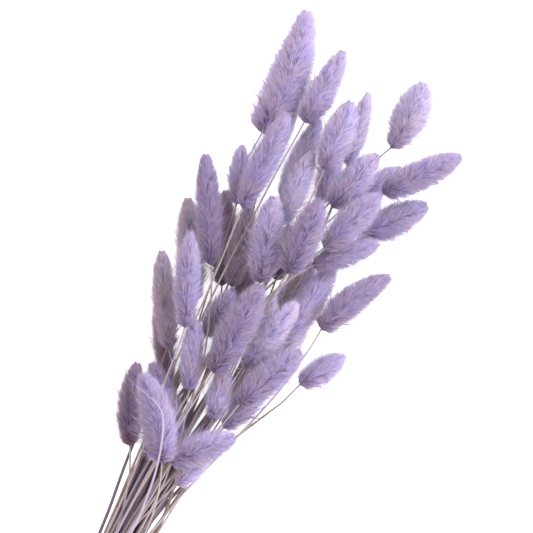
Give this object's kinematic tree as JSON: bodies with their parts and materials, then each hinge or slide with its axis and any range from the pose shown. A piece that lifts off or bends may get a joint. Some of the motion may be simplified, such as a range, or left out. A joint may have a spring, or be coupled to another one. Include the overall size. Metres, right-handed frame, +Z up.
{
  "type": "dried bunny tail grass",
  "caption": "Bunch of dried, lilac-dyed bunny tail grass: soft tapered heads on thin bare stems that fan out from a twine tie, lying on a table.",
  "frame": {"origin": "on the table, under the middle of the bunch's box", "axes": "+Y along the bunch from the cut stem ends to the heads, +X to the right seen from above, +Z up"},
  "size_m": [0.131, 0.4584, 0.0717],
  "materials": {
    "fluff": "soft matt down, dyed lilac, paler at the outer hairs and plum in the shade between heads",
    "straw": "dry matt straw, beige with a light lilac tint of the dye",
    "twine": "matt natural jute twine"
  },
  "bodies": {
    "root": {"head_1": "fluff", "head_2": "fluff", "head_3": "fluff", "head_4": "fluff", "head_5": "fluff", "head_6": "fluff", "head_7": "fluff", "head_8": "fluff", "head_9": "fluff", "head_10": "fluff", "head_11": "fluff", "head_12": "fluff", "head_13": "fluff", "head_14": "fluff", "head_15": "fluff", "head_16": "fluff", "head_17": "fluff", "head_18": "fluff", "head_19": "fluff", "head_20": "fluff", "head_21": "fluff", "head_22": "fluff", "head_23": "fluff", "head_24": "fluff", "head_25": "fluff", "head_26": "fluff", "head_27": "fluff", "head_28": "fluff", "head_29": "fluff", "head_30": "fluff", "head_31": "fluff", "head_32": "fluff", "head_33": "fluff", "head_34": "fluff", "head_35": "fluff", "head_36": "fluff", "head_37": "fluff", "head_38": "fluff", "head_39": "fluff", "head_40": "fluff", "head_41": "fluff", "head_42": "fluff", "head_43": "fluff", "head_44": "fluff", "head_45": "fluff", "head_46": "fluff", "head_47": "fluff", "strand_1": "straw", "strand_2": "straw", "strand_3": "straw", "strand_4": "straw", "strand_5": "straw", "strand_6": "straw", "strand_7": "straw", "strand_8": "straw", "strand_9": "straw", "strand_10": "straw", "strand_11": "straw", "strand_12": "straw", "tie": "twine"}
  },
  "joints": []
}
